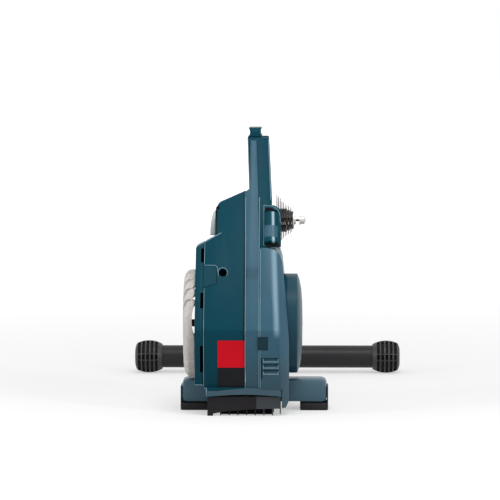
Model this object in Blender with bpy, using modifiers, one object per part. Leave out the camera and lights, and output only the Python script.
"""Direct drive fluid bike trainer, modelled in metres with +Z up.

The bicycle's dropouts clamp on the trainer's axle.  Every place is measured from a point on the floor
below the middle of that axle: X to the rider's right, Y forwards, Z up.  One empty carries all the pieces
and moves that point so that the whole object is centred over the world's origin.
"""

import math

import bmesh
import bpy
from mathutils import Matrix, Vector

MM = 0.001
GAP = 0.3 * MM                      # left between pieces that touch
RUNNING = 0.5 * MM                  # left round pieces that turn in or beside others

# Overall places
AXLE_HEIGHT = 380 * MM
REAR_REACH = 212 * MM               # from the axle back to the casing's crease
BAR_REACH = 619 * MM                # from the axle forwards to the front cross bar
BARREL_RADIUS = 36 * MM             # the rubber barrels that the front bar rests on
LOWER_SHAFT_BACK = 65 * MM          # lower shaft, behind the axle
LOWER_SHAFT_HEIGHT = 175 * MM

# Casing, seen from the side
CREASE_HEIGHT = 174 * MM
REAR_AT_AXLE = 84.3 * MM            # from the axle back to the rear face, which leans forwards above the crease
REAR_FOOT_REACH = 190 * MM          # rear face at the casing's lower edge
CASE_BOTTOM = 54 * MM
CASE_FRONT = 42 * MM                # front wall below the axle
FRONT_BEND_TOP = AXLE_HEIGHT - 60 * MM    # the front wall slopes back between these heights
FRONT_BEND_LOW = 262 * MM
AXLE_COVER_RADIUS = 68 * MM         # front wall at the axle
FIN_TOP = 549 * MM
FIN_FRONT = 118 * MM
WALL = 3 * MM
EDGE_ROUND = 3.5 * MM

# Casing, seen from behind
LEFT_SIDE = -119 * MM
LEFT_UPPER_SIDE = -97 * MM
LEFT_STEP_HEIGHT = 341 * MM
SHOULDER_HEIGHT = 448 * MM
SHOULDER_CORNER_HEIGHT = (3 * LEFT_STEP_HEIGHT + 5 * SHOULDER_HEIGHT) / 8
SPLIT_X = -34 * MM                  # where the left and right shells meet
FIN_RIGHT = 9 * MM
UPPER_RIGHT_SIDE = 35.5 * MM
LOWER_COVER_LEFT = -4.7 * MM
LOWER_COVER_TOP = AXLE_HEIGHT - 48 * MM
LOWER_RIGHT_SIDE = 52 * MM
BULGE = 8 * MM                      # how far the lower right cover stands behind the other rear faces
HOLE_RADIUS = 8.8 * MM

# Left side cover and flywheel
LEFT_COVER_SIDE = -136 * MM
SLOT_WIDTH = 6 * MM
FLYWHEEL_RADIUS = 109 * MM
FLYWHEEL_OUTER_X = -162 * MM
FLYWHEEL_INNER_X = -139 * MM
FLYWHEEL_JOINTS = [180 + side + turn for turn in (0, 180) for side in (-59, -45, -31, 37, 52, 67, 83, 102)]
FLYWHEEL_WAIST_DEPTH = 6 * MM       # the rim's side towards the casing is hollowed along a chord
FLYWHEEL_WAIST_HEIGHT = 78 * MM
FLYWHEEL_WAIST_TURN = math.radians(-2)
PETAL_GROOVE = 1.4 * MM
PETAL_GROOVE_DEPTH = 9 * MM

SIDE_COVER_THICKNESS = 2.7 * MM     # flat cover on the fin's left side
SIDE_COVER_RECESS = 2.5 * MM        # its rear edge lies this far in front of the rear face

# Steel frame
PLATE_THICKNESS = 5 * MM
LEFT_PLATE_X = -31 * MM             # left face of the left plate
RIGHT_PLATE_X = 1 * MM              # left face of the right plate
CROSS_TUBE_DEPTH = 40 * MM
CROSS_TUBE_BACK = -80 * MM
CROSS_TUBE_LOW = 20 * MM
CROSS_TUBE_HIGH = 52 * MM
STEEL_WALL = 3 * MM

# Rear feet
FOOT_LEFT_END = -165 * MM
FOOT_RIGHT_END = 128 * MM
FOOT_BACK = -95 * MM
FOOT_DEPTH = 70 * MM
FOOT_TOP = 63 * MM
PAD_HEIGHT = 15 * MM

# Folding front leg
HINGE_FORWARD = 150 * MM
HINGE_HEIGHT = 60 * MM
HINGE_PIN_RADIUS = 6 * MM
LUG_THICKNESS = 8 * MM
EAR_THICKNESS = 6 * MM
LUG_RADIUS = 52 * MM
LOCK_RADIUS = 38 * MM               # from the hinge pin to the clamping stud
STUD_RADIUS = 4 * MM
KNOB_RADIUS = 19 * MM
FOLD_ANGLE = math.radians(90)
LEG_TUBE_RADIUS = 20 * MM
BAR_RADIUS = 25 * MM
BAR_HALF_LENGTH = 295 * MM          # over the barrels' ends
BARREL_LENGTH = 61 * MM
TUBE_WALL = 2 * MM

# Axle, hub and cassette
DROPOUT_WIDTH = 130 * MM            # over the axle's end caps, as a road bicycle's rear frame
DROPOUT_THICKNESS = 7 * MM
AXLE_RADIUS = 6 * MM
SKEWER_RADIUS = 2.5 * MM
HUB_RADIUS = 10 * MM
HUB_BEARING_RADIUS = 21 * MM
HUB_BEARING_WIDTH = 9 * MM
END_CAP_RADIUS = 12 * MM
PULLEY_RADIUS = 60 * MM
PULLEY_WIDTH = 16 * MM
BELT_CENTRE_X = -13.5 * MM
BELT_THICKNESS = 2.6 * MM
FREEHUB_LEFT = 25 * MM
FREEHUB_LENGTH = 34 * MM
FREEHUB_RADIUS = 16.5 * MM
CHAIN_PITCH = 12.7 * MM
SPROCKET_THICKNESS = 1.6 * MM
SPROCKET_STEP = 3.4 * MM            # from one sprocket to the next
SPROCKET_TEETH = (25, 23, 21, 19, 17, 15, 14, 13, 12, 11)

# Lower shaft, oil unit
LOWER_SHAFT_RADIUS = 7.5 * MM
LOWER_BEARING_RADIUS = 17.5 * MM
SMALL_PULLEY_RADIUS = 13 * MM
HOUSING_RADIUS = 84 * MM
HOUSING_LEFT = 9 * MM
HOUSING_RIGHT = 46 * MM
HOUSING_WALL = 5 * MM
ROTOR_BLADES = 8
DOME_RADIUS = 101 * MM
DOME_LEFT = 48 * MM
DOME_FLAT = 70 * MM
DOME_RIGHT = 79 * MM

# Places worked out from the sizes above
REAR_LEAN = (REAR_REACH - REAR_AT_AXLE) / (AXLE_HEIGHT - CREASE_HEIGHT)
AXLE_Y = (REAR_REACH + BULGE - BAR_REACH - BARREL_RADIUS) / 2
RIGHT_HUB_BEARING_X = RIGHT_PLATE_X + (PLATE_THICKNESS - HUB_BEARING_WIDTH) / 2
LEFT_HUB_BEARING_X = LEFT_PLATE_X + (PLATE_THICKNESS - HUB_BEARING_WIDTH) / 2
AXLE = Vector((0, 0, AXLE_HEIGHT))
LOWER_SHAFT = Vector((0, -LOWER_SHAFT_BACK, LOWER_SHAFT_HEIGHT))
HINGE = Vector((0, HINGE_FORWARD, HINGE_HEIGHT))
BAR = Vector((0, BAR_REACH, BARREL_RADIUS))

COLOURS = {
    "teal": ((0.010, 0.068, 0.095), 0.35, 0.0),
    "pale_teal": ((0.065, 0.150, 0.215), 0.35, 0.0),
    "black_plastic": ((0.016, 0.016, 0.018), 0.5, 0.0),
    "rubber": ((0.022, 0.022, 0.024), 0.8, 0.0),
    "black_paint": ((0.024, 0.024, 0.026), 0.4, 0.0),
    "steel": ((0.45, 0.45, 0.46), 0.35, 1.0),
    "aluminium": ((0.62, 0.62, 0.63), 0.4, 1.0),
    "flywheel_grey": ((0.50, 0.48, 0.45), 0.55, 0.0),
    "cap_grey": ((0.50, 0.48, 0.45), 0.6, 0.0),
    "red_label": ((0.58, 0.006, 0.016), 0.4, 0.0),
    "black_label": ((0.008, 0.009, 0.010), 0.4, 0.0),
    "belt_rubber": ((0.015, 0.015, 0.015), 0.7, 0.0),
}

# Each view turns an outline's own axes onto the world's, and names the axis of its thickness
SIDE_VIEW = (Matrix(((0, 0, 1, 0), (1, 0, 0, 0), (0, 1, 0, 0), (0, 0, 0, 1))), Vector((1, 0, 0)))
REAR_VIEW = (Matrix(((1, 0, 0, 0), (0, 0, -1, 0), (0, 1, 0, 0), (0, 0, 0, 1))), Vector((0, 1, 0)))
TOP_VIEW = (Matrix.Identity(4), Vector((0, 0, 1)))
SIDEWAYS = (0, math.pi / 2, 0)      # turns an object's own Z onto the world's X


def clear_scene():
    """Remove what the scene holds and make the collections and the empty that carries the part."""
    for obj in list(bpy.data.objects):
        bpy.data.objects.remove(obj, do_unlink=True)
    part = bpy.data.collections.new("fluid_bike_trainer")
    cutters = bpy.data.collections.new("cutters")
    for collection in (part, cutters):
        bpy.context.scene.collection.children.link(collection)
    carrier = bpy.data.objects.new("below_axle", None)
    carrier.location = (0, AXLE_Y, 0)
    part.objects.link(carrier)
    return part, cutters, carrier


PART, CUTTERS, CARRIER = clear_scene()


def material(name):
    """The named plain material, made on its first use."""
    found = bpy.data.materials.get(name)
    if found:
        return found
    colour, roughness, metallic = COLOURS[name]
    made = bpy.data.materials.new(name)
    made.use_nodes = True
    shader = made.node_tree.nodes["Principled BSDF"]
    shader.inputs["Base Color"].default_value = (*colour, 1)
    shader.inputs["Roughness"].default_value = roughness
    shader.inputs["Metallic"].default_value = metallic
    return made


def place(obj, name, finish=None):
    """Name an object and hang it on the carrier: as a part with a finish, or without one as a cutter."""
    for collection in list(obj.users_collection):
        collection.objects.unlink(obj)
    (PART if finish else CUTTERS).objects.link(obj)
    obj.name = name
    obj.parent = CARRIER
    if finish:
        obj.data.materials.clear()
        obj.data.materials.append(material(finish))
    else:
        obj.hide_render = True
        obj.display_type = "WIRE"
    return obj


def block(name, low, high, finish=None, rounded=0):
    """A box between two opposite corners."""
    low, high = Vector(low), Vector(high)
    bpy.ops.mesh.primitive_cube_add(size=1, location=(low + high) / 2)
    obj = bpy.context.object
    obj.scale = high - low
    bpy.ops.object.transform_apply(location=False, rotation=False, scale=True)
    place(obj, name, finish)
    if rounded:
        bevel(obj, rounded)
    return obj


def rod(name, centre, radius, left, right, finish=None, sides=32):
    """A cylinder along X, between two X values."""
    bpy.ops.mesh.primitive_cylinder_add(
        vertices=sides, radius=radius, depth=right - left,
        location=((left + right) / 2, centre[1], centre[2]), rotation=SIDEWAYS)
    obj = bpy.context.object
    smooth(obj.data)
    return place(obj, name, finish)


def smooth(mesh, angle=35):
    mesh.shade_smooth()
    mesh.set_sharp_from_angle(angle=math.radians(angle))


def prism(name, outline, low, high, view=SIDE_VIEW, finish=None, more=()):
    """A flat outline with thickness: in Y and Z between two X values, or in another of the views.

    More outlines are holes where they lie inside the first one, and further pieces outside it.
    """
    curve = bpy.data.curves.new(name, "CURVE")
    curve.dimensions = "2D"
    curve.fill_mode = "BOTH"
    curve.extrude = (high - low) / 2
    for points in [outline, *more]:
        spline = curve.splines.new("POLY")
        spline.points.add(len(points) - 1)
        for point, (across, up) in zip(spline.points, points):
            point.co = (across, up, 0, 1)
        spline.use_cyclic_u = True
    flat = bpy.data.objects.new(name + "_outline", curve)
    bpy.context.scene.collection.objects.link(flat)
    bpy.context.view_layer.update()
    mesh = bpy.data.meshes.new_from_object(flat.evaluated_get(bpy.context.evaluated_depsgraph_get()))
    weld(mesh)
    bpy.data.objects.remove(flat, do_unlink=True)
    obj = bpy.data.objects.new(name, mesh)
    turn, thick_axis = view
    obj.matrix_world = Matrix.Translation(thick_axis * (low + high) / 2) @ turn
    bpy.context.scene.collection.objects.link(obj)
    return place(obj, name, finish)


def weld(mesh, distance=0.01 * MM):
    work = bmesh.new()
    work.from_mesh(mesh)
    bmesh.ops.remove_doubles(work, verts=work.verts, dist=distance)
    bmesh.ops.recalc_face_normals(work, faces=work.faces)
    work.to_mesh(mesh)
    work.free()


def turned(name, profile, centre, finish=None, sides=32, ring=False):
    """A turned shape round a line along X.

    The profile is pairs of X and radius from the right end to the left end of the outer side.  A ring's
    profile goes on along its bore and closes on itself.
    """
    mesh = bpy.data.meshes.new(name)
    points = [(radius, 0, x) for x, radius in profile]
    edges = [(i, i + 1) for i in range(len(points) - 1)]
    if ring:
        edges.append((len(points) - 1, 0))
    mesh.from_pydata(points, edges, [])
    obj = bpy.data.objects.new(name, mesh)
    bpy.context.scene.collection.objects.link(obj)
    screw = obj.modifiers.new("turn", "SCREW")
    screw.axis = "Z"
    screw.steps = screw.render_steps = sides
    screw.use_merge_vertices = True
    screw.merge_threshold = 0.01 * MM
    screw.use_smooth_shade = True
    obj.location = (0, centre[1], centre[2])
    obj.rotation_euler = SIDEWAYS
    return place(obj, name, finish)


def bevel(obj, width, segments=2, angle=35):
    modifier = obj.modifiers.new("rounded_edges", "BEVEL")
    modifier.width = width
    modifier.segments = segments
    modifier.limit_method = "ANGLE"
    modifier.angle_limit = math.radians(angle)
    return modifier


def boolean(obj, other, operation):
    modifier = obj.modifiers.new(other.name, "BOOLEAN")
    modifier.operation = operation
    modifier.object = other
    modifier.solver = "EXACT"
    return obj


def use_manifold(obj):
    """Let the Manifold solver do an object's Booleans, where the exact one leaves edges open."""
    for modifier in obj.modifiers:
        if modifier.type == "BOOLEAN":
            modifier.solver = "MANIFOLD"
    return obj


def cut(obj, *cutters):
    for cutter in cutters:
        boolean(obj, cutter, "DIFFERENCE")
    return obj


def join(obj, *others):
    for other in others:
        boolean(obj, other, "UNION")
    return obj


def inset(outline, distance):
    """The outline moved inwards by a distance, each corner along the meeting line of its two sides."""
    count = len(outline)
    area = sum(outline[i][0] * outline[(i + 1) % count][1] - outline[(i + 1) % count][0] * outline[i][1]
               for i in range(count))
    turn = 1 if area > 0 else -1
    moved = []
    for i in range(count):
        here = Vector(outline[i])
        before = (here - Vector(outline[i - 1])).normalized()
        after = (Vector(outline[(i + 1) % count]) - here).normalized()
        normal_before = Vector((-before.y, before.x)) * turn
        normal_after = Vector((-after.y, after.x)) * turn
        mitre = (normal_before + normal_after).normalized()
        moved.append(tuple(here + mitre * (distance / max(0.3, mitre.dot(normal_after)))))
    return moved


def arc(centre, radius, start, end, count):
    """Points on an arc, angles in degrees from the first axis of the outline."""
    angles = [math.radians(start + (end - start) * i / (count - 1)) for i in range(count)]
    return [(centre[0] + radius * math.cos(a), centre[1] + radius * math.sin(a)) for a in angles]


def rear_y(height, proud=0.0):
    """Y of the casing's rear face at a height, or of a face that stands proud of it."""
    if height >= CREASE_HEIGHT:
        return -REAR_REACH - proud + REAR_LEAN * (height - CREASE_HEIGHT)
    share = (CREASE_HEIGHT - height) / (CREASE_HEIGHT - CASE_BOTTOM)
    return -REAR_REACH - proud + share * (REAR_REACH - REAR_FOOT_REACH)


def rear_line(bottom, top, proud=0.0):
    """The rear face's points from bottom to top, bent at the crease."""
    line = [(rear_y(bottom, proud), bottom)]
    if bottom < CREASE_HEIGHT < top:
        line.append((rear_y(CREASE_HEIGHT, proud), CREASE_HEIGHT))
    return line + [(rear_y(top, proud), top)]


def stretched(outline, axis, beyond, to):
    """The outline with every point that lies beyond a value, on the side of the new value, moved to it."""
    moved = []
    for point in outline:
        point = list(point)
        if (point[axis] - beyond) * (to - beyond) > 0:
            point[axis] = to
        moved.append(tuple(point))
    return moved


SPARE = 12 * MM                     # moulded past an open side before it is trimmed, to keep its edge sharp


def trimmed(obj, left=None, right=None):
    """Cut a shell off square at its open side, left or right."""
    reach = REAR_REACH + 100 * MM
    if left is not None:
        cut(obj, block(obj.name + "_left_trim", (left - 3 * SPARE, -reach, 0), (left, reach, 2 * AXLE_HEIGHT)))
    if right is not None:
        cut(obj, block(obj.name + "_right_trim", (right, -reach, 0), (right + 3 * SPARE, reach, 2 * AXLE_HEIGHT)))
    return obj


def moulded(name, seen_from_behind, seen_from_side, finish=None, rounded=0, cutters=()):
    """A solid with one outline seen from behind and another seen from the side.

    What the cutters take off it is gone before its edges are rounded.
    """
    reach = REAR_REACH + 100 * MM
    body = prism(name, seen_from_behind, -reach, reach, REAR_VIEW, finish)
    across = [point[0] for point in seen_from_behind]
    side = prism(name + "_side", seen_from_side, min(across) - 10 * MM, max(across) + 10 * MM)
    boolean(body, side, "INTERSECT")
    cut(body, *cutters)
    if rounded:
        bevel(body, rounded)
    return body


FLOOR_OPENING = CASE_BOTTOM - 30 * MM     # hollows run down to here, so the casings are open below
FINGER_GAP_BOTTOM = FIN_TOP - 29 * MM
FIN_RING = 16 * MM                  # fin left standing at each end of the finger gap


def casing_front(top, bottom):
    """The front wall's points from the top down."""
    return [
        (FIN_FRONT, top), (FIN_FRONT, FIN_TOP - 49 * MM), (AXLE_COVER_RADIUS, AXLE_HEIGHT + 30 * MM),
        (AXLE_COVER_RADIUS, FRONT_BEND_TOP), (CASE_FRONT, FRONT_BEND_LOW), (CASE_FRONT, bottom)]


def fin_side(bottom=CASE_BOTTOM):
    """The right shell from the side: the fin's top has a gap for the fingers under the handle."""
    rear = rear_y(FIN_TOP)
    top = [
        (rear + FIN_RING, FIN_TOP), (rear + FIN_RING + 6 * MM, FINGER_GAP_BOTTOM),
        (FIN_FRONT - FIN_RING - 6 * MM, FINGER_GAP_BOTTOM), (FIN_FRONT - FIN_RING, FIN_TOP)]
    return rear_line(bottom, FIN_TOP) + top + casing_front(FIN_TOP, bottom)


UPPER_COVER_LEFT = 0 * MM
UPPER_COVER_TOP = AXLE_HEIGHT + 34 * MM
UPPER_COVER_FRONT = -61.5 * MM      # behind the cassette and its chain
UPPER_COVER_FRONT_TOP = -50 * MM
UPPER_COVER_BEND = AXLE_HEIGHT + 5 * MM
CORE_RIGHT = 16 * MM                # right wall of the casing beside the cassette


def right_shell():
    """The casing's middle part: the fin, the wall beside the cassette and the lower rear wall."""
    step = LOWER_COVER_TOP + GAP
    left = SPLIT_X + GAP
    lower_right = LOWER_COVER_LEFT - GAP
    spare = left - SPARE
    behind = [
        (spare, CASE_BOTTOM), (spare, FIN_TOP), (FIN_RIGHT, FIN_TOP), (CORE_RIGHT, UPPER_COVER_TOP + 8 * MM),
        (CORE_RIGHT, step), (lower_right, step), (lower_right, CASE_BOTTOM)]
    shell = trimmed(moulded("right_shell", behind, fin_side(), "teal", EDGE_ROUND), left=left)
    hollow = [
        (left - 30 * MM, FLOOR_OPENING), (left - 30 * MM, FIN_TOP - WALL), (FIN_RIGHT - WALL, FIN_TOP - WALL),
        (CORE_RIGHT - WALL, UPPER_COVER_TOP + 8 * MM), (CORE_RIGHT - WALL, FLOOR_OPENING)]
    cut(shell, moulded("right_shell_hollow", hollow, inset(fin_side(FLOOR_OPENING - WALL), WALL)))
    axle_hole = rod("right_shell_axle_hole", AXLE, HUB_RADIUS + 4 * MM, 8 * MM, 60 * MM)
    top = UPPER_COVER_TOP + GAP
    low = LOWER_COVER_TOP - WALL
    room = [
        (-REAR_REACH, low), (-REAR_REACH, top), (UPPER_COVER_FRONT_TOP + GAP, top),
        (UPPER_COVER_FRONT + GAP, UPPER_COVER_BEND), (UPPER_COVER_FRONT + GAP, low)]
    corner = prism("upper_cover_room", room, UPPER_COVER_LEFT - GAP, CORE_RIGHT + WALL)
    return use_manifold(cut(shell, axle_hole, corner))


def upper_right_cover():
    """The block that steps out to the right behind the cassette, open on its left, with the pod's recess."""
    low = LOWER_COVER_TOP + GAP
    top = UPPER_COVER_TOP
    spare = UPPER_COVER_LEFT - SPARE
    behind = [
        (spare, low), (spare, top), (UPPER_RIGHT_SIDE - 14 * MM, top),
        (UPPER_RIGHT_SIDE, top - 10 * MM), (UPPER_RIGHT_SIDE, low)]
    side = rear_line(low, top) + [
        (UPPER_COVER_FRONT_TOP, top), (UPPER_COVER_FRONT, UPPER_COVER_BEND), (UPPER_COVER_FRONT, low)]
    cover = trimmed(moulded("upper_right_cover", behind, side, "teal", EDGE_ROUND / 2), left=UPPER_COVER_LEFT)
    hollow = stretched(inset(behind, WALL), 0, spare + 2 * WALL, spare - SPARE)
    cut(cover, moulded("upper_cover_hollow", hollow, inset(side, WALL)))
    return cut(cover, pod_opening())


def side_cover():
    """The flat cover on the fin's left side, round the axle."""
    low = FRONT_BEND_TOP - 28 * MM
    whole = [point for point in fin_side() if point[1] > low]
    rear = [(rear_y(low) + SIDE_COVER_RECESS, low), (rear_y(FIN_TOP) + SIDE_COVER_RECESS, FIN_TOP)]
    side = rear + whole[1:] + [(CASE_FRONT + 8 * MM, low)]
    plate = prism("side_cover", side, SPLIT_X - SIDE_COVER_THICKNESS, SPLIT_X, SIDE_VIEW, "teal")
    return cut(plate, rod("side_cover_hole", AXLE, END_CAP_RADIUS + 2 * MM, SPLIT_X - 20 * MM, SPLIT_X + 20 * MM))


CAP_WIDTH = 11 * MM                 # how far the cap stands out of the upper left side
CAP_TOP = SHOULDER_CORNER_HEIGHT - 4 * MM
CAP_BACK = -76 * MM
CAP_FRONT = -38 * MM


def side_cap():
    """The pale bump on the upper left side, swelling towards the step under it."""
    right = LEFT_UPPER_SIDE - GAP
    low = LEFT_STEP_HEIGHT + 13 * MM
    height = CAP_TOP - low
    swell = [(right - CAP_WIDTH * math.cos(math.radians(turn)), low + height * math.sin(math.radians(turn)))
             for turn in (6, 20, 35, 50, 65, 80)]
    cap = prism("side_cap", [(right, low), (right - CAP_WIDTH, low)] + swell + [(right, CAP_TOP)],
                CAP_BACK, CAP_FRONT, REAR_VIEW, "cap_grey")
    bevel(cap, 3 * MM, 3)
    return cap


def on_rear_face(obj, x, height, proud=0.0):
    """Turn an object's own Y onto the line into the leaning rear face, and put it on that face."""
    obj.location = (x, rear_y(height, proud), height)
    obj.rotation_euler = (-math.atan(REAR_LEAN), 0, 0)
    return obj


POD_X = 15 * MM
POD_HEIGHT = AXLE_HEIGHT - 9 * MM
POD_RADIUS = 12 * MM
POD_LENGTH = 68 * MM                # along the leaning face
POD_SLOT = 5.5 * MM                   # the dark gap above and below the pod


def leaning_block(name, x_range, height, up, depth, finish=None, proud=0.0):
    """A box on the leaning rear face: x range, length up the face, and depth range into it."""
    low = Vector((x_range[0], depth[0], -up / 2))
    high = Vector((x_range[1], depth[1], up / 2))
    obj = block(name, low, high, finish)
    middle = (low + high) / 2
    obj.data.transform(Matrix.Translation((0, middle.y, 0)))
    return on_rear_face(obj, middle.x, height, proud)


def pod_opening():
    half = POD_RADIUS + 1.5 * MM
    return leaning_block("pod_opening", (POD_X - half, POD_X + half), POD_HEIGHT,
                         POD_LENGTH + 2 * POD_SLOT, (-10 * MM, 7 * MM))


def sensor_pod():
    """A cylinder standing half out of the recess, on a plate behind the wall."""
    bpy.ops.mesh.primitive_cylinder_add(vertices=28, radius=POD_RADIUS, depth=POD_LENGTH)
    pod = bpy.context.object
    smooth(pod.data)
    pod.data.transform(Matrix.Translation((0, 4 * MM, 0)))
    place(pod, "sensor_pod", "teal")
    on_rear_face(pod, POD_X, POD_HEIGHT)
    plate_back = WALL + GAP
    half = POD_RADIUS + 2.5 * MM
    length = POD_LENGTH + 2 * POD_SLOT
    inner_half = leaning_block("pod_inner_half", (POD_X - half, POD_X + half), POD_HEIGHT, length,
                               (plate_back + 1 * MM, 30 * MM))
    plate = leaning_block("pod_plate", (POD_X - half, POD_X + half), POD_HEIGHT, length - 2 * MM,
                          (plate_back, plate_back + 1.8 * MM))
    return join(cut(pod, inner_half), plate)


SHOULDER_FRONT = -36 * MM
SHOULDER_DEPTH = 18 * MM            # from back to front along the shoulder's top


def left_side(bottom):
    """The left shell's rear and front lines: the shoulder stays behind the bicycle's frame."""
    under = SHOULDER_HEIGHT - 24 * MM
    return rear_line(bottom, SHOULDER_HEIGHT) + [
        (rear_y(SHOULDER_HEIGHT) + SHOULDER_DEPTH, SHOULDER_HEIGHT),
        (max(SHOULDER_FRONT, rear_y(under) + SHOULDER_DEPTH), under), (SHOULDER_FRONT, LEFT_STEP_HEIGHT - 2 * WALL),
        (SHOULDER_FRONT + 46 * MM, FRONT_BEND_TOP - 28 * MM), (CASE_FRONT, FRONT_BEND_LOW)]


def over_the_foot(bottom):
    """The lower edge's points in front, which step back over the cross tube and its foot shells."""
    return [(CASE_FRONT, FOOT_TOP + WALL), (FOOT_BACK - WALL, FOOT_TOP + WALL), (FOOT_BACK - WALL, bottom)]


def left_shell():
    right = SPLIT_X - SIDE_COVER_THICKNESS - GAP
    spare = right + SPARE
    behind = [
        (spare, CASE_BOTTOM), (LEFT_SIDE, CASE_BOTTOM), (LEFT_SIDE, LEFT_STEP_HEIGHT),
        (LEFT_UPPER_SIDE, LEFT_STEP_HEIGHT + 12 * MM), (LEFT_UPPER_SIDE, SHOULDER_CORNER_HEIGHT),
        (LEFT_UPPER_SIDE + 7 * MM, SHOULDER_CORNER_HEIGHT + 12 * MM), (spare, SHOULDER_HEIGHT)]
    outside = left_side(CASE_BOTTOM) + over_the_foot(CASE_BOTTOM)
    shell = trimmed(moulded("left_shell", behind, outside, "teal", EDGE_ROUND), right=right)
    hollow = stretched(inset(behind, WALL), 0, spare - 2 * WALL, spare + SPARE)
    hollow = stretched(hollow, 1, CASE_BOTTOM + 2 * WALL, FLOOR_OPENING)
    inside = left_side(FLOOR_OPENING - WALL) + [(CASE_FRONT, FLOOR_OPENING - WALL)]
    cut(shell, moulded("left_shell_hollow", hollow, inset(inside, WALL)))
    bpy.ops.mesh.primitive_cylinder_add(vertices=32, radius=HOLE_RADIUS, depth=30 * MM)
    hole = bpy.context.object
    hole.data.transform(Matrix.Rotation(math.pi / 2, 4, "X"))
    place(hole, "round_hole")
    on_rear_face(hole, -80.5 * MM, 283.6 * MM)
    shaft_hole = rod("left_shell_shaft_hole", LOWER_SHAFT, CARRIER_RADIUS + RUNNING, LEFT_SIDE - 10 * MM,
                     LEFT_SIDE + 10 * MM)
    return cut(shell, hole, shaft_hole)


CARRIER_RADIUS = 24 * MM            # the tube that holds the lower shaft's left bearing


def left_cover():
    """The narrow cover beside the left shell, with three slots along its inner edge."""
    right = LEFT_SIDE - GAP
    low, top = 62 * MM, LEFT_STEP_HEIGHT
    outer_top = top - 9 * MM
    behind = [(right, low), (LEFT_COVER_SIDE, low), (LEFT_COVER_SIDE, outer_top), (right, top)]
    front = CASE_FRONT - 4 * WALL
    side = rear_line(low, top) + [
        (SHOULDER_FRONT, top), (SHOULDER_FRONT + 46 * MM, FRONT_BEND_TOP - 28 * MM), (front, FRONT_BEND_LOW),
        (front, FOOT_TOP + WALL),
        *over_the_foot(low)[1:]]
    cover = moulded("left_cover", behind, side, "teal", EDGE_ROUND)
    hollow = stretched(inset(behind, WALL), 0, LEFT_COVER_SIDE + 2 * WALL, right + 10 * MM)
    cut(cover, moulded("left_cover_hollow", hollow, inset(side, WALL)))
    for number, (bottom, height) in enumerate(((88 * MM, 54 * MM), (215 * MM, 30 * MM), (303 * MM, 27 * MM))):
        middle = bottom + height / 2
        cut(cover, block(f"cover_slot_{number}", (right - SLOT_WIDTH, rear_y(middle) - 30 * MM, bottom),
                         (right + 5 * MM, rear_y(middle) + 30 * MM, bottom + height)))
    shaft_hole = rod("left_cover_shaft_hole", LOWER_SHAFT, LOWER_SHAFT_RADIUS + 6 * MM,
                     LEFT_COVER_SIDE - 10 * MM, right + 10 * MM)
    return cut(cover, shaft_hole)


def face_block(name, left, right, low, high, deep_low, deep_high, start=-10 * MM, proud=0.0):
    """A block along the rear face between two heights, from a start to a depth behind that face."""
    side = [
        (rear_y(low, proud) + start, low), (rear_y(high, proud) + start, high),
        (rear_y(high, proud) + deep_high, high), (rear_y(low, proud) + deep_low, low)]
    return prism(name, side, left, right)


POCKET_LEFT = -9.5 * MM             # a shallow pocket across the seam between the spine and the right cover
POCKET_RIGHT = 10.5 * MM
POCKET_LOW = 134 * MM
POCKET_HIGH = 161.5 * MM
POCKET_DEPTH = 2.2 * MM
LOUVRE_LEFT = 0.5 * MM
LOUVRE_RIGHT = 31.5 * MM
LOUVRE_LIPS = (86 * MM, 98 * MM, 110 * MM)
LOUVRE_HEIGHT = 8.5 * MM
LOUVRE_DEPTH = 6.5 * MM
VENT_LOW = 75 * MM                  # the upright slit beside the louvres
VENT_HIGH = 119 * MM
RIDGE_TOP = 28 * MM                 # where the flank turns away from the rear face, at three heights
RIDGE_AT_CREASE = 32 * MM
RIDGE_LOW = 38 * MM
FLANK_DEPTH = 34 * MM
FLANK_ROUND = 6 * MM
RIGHT_COVER_LOW = 15 * MM


def flank_rooms(name, low, high, wall):
    """Two wedges outside the flank, below and above the crease, sheared along the rear face and ridge."""
    width = LOWER_RIGHT_SIDE - RIDGE_AT_CREASE
    across = Vector((-FLANK_DEPTH, width)).normalized() * wall
    rise = (RIDGE_LOW - RIDGE_AT_CREASE) / (RIGHT_COVER_LOW - CREASE_HEIGHT)
    rise_above = (RIDGE_TOP - RIDGE_AT_CREASE) / (LOWER_COVER_TOP - CREASE_HEIGHT)
    fall = (rear_y(low, BULGE) - rear_y(CREASE_HEIGHT, BULGE)) / (low - CREASE_HEIGHT)
    ridge = RIDGE_AT_CREASE + across.x
    rear = rear_y(CREASE_HEIGHT, BULGE) + across.y
    outline = [
        (ridge - width / 2, rear - FLANK_DEPTH / 2), (ridge + 2 * width, rear - FLANK_DEPTH / 2),
        (ridge + 2 * width, rear + 2 * FLANK_DEPTH)]
    rooms = []
    for bottom, top, sideways, forward in ((low, CREASE_HEIGHT + WALL, rise, fall),
                                           (CREASE_HEIGHT - WALL, high, rise_above, REAR_LEAN)):
        room = prism(f"{name}_{len(rooms)}", outline, bottom, top, TOP_VIEW)
        start = (bottom + top) / 2 - CREASE_HEIGHT
        shear = Matrix(((1, 0, sideways, sideways * start), (0, 1, forward, forward * start),
                        (0, 0, 1, 0), (0, 0, 0, 1)))
        room.data.transform(shear)
        rooms.append(room)
    return rooms


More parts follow.
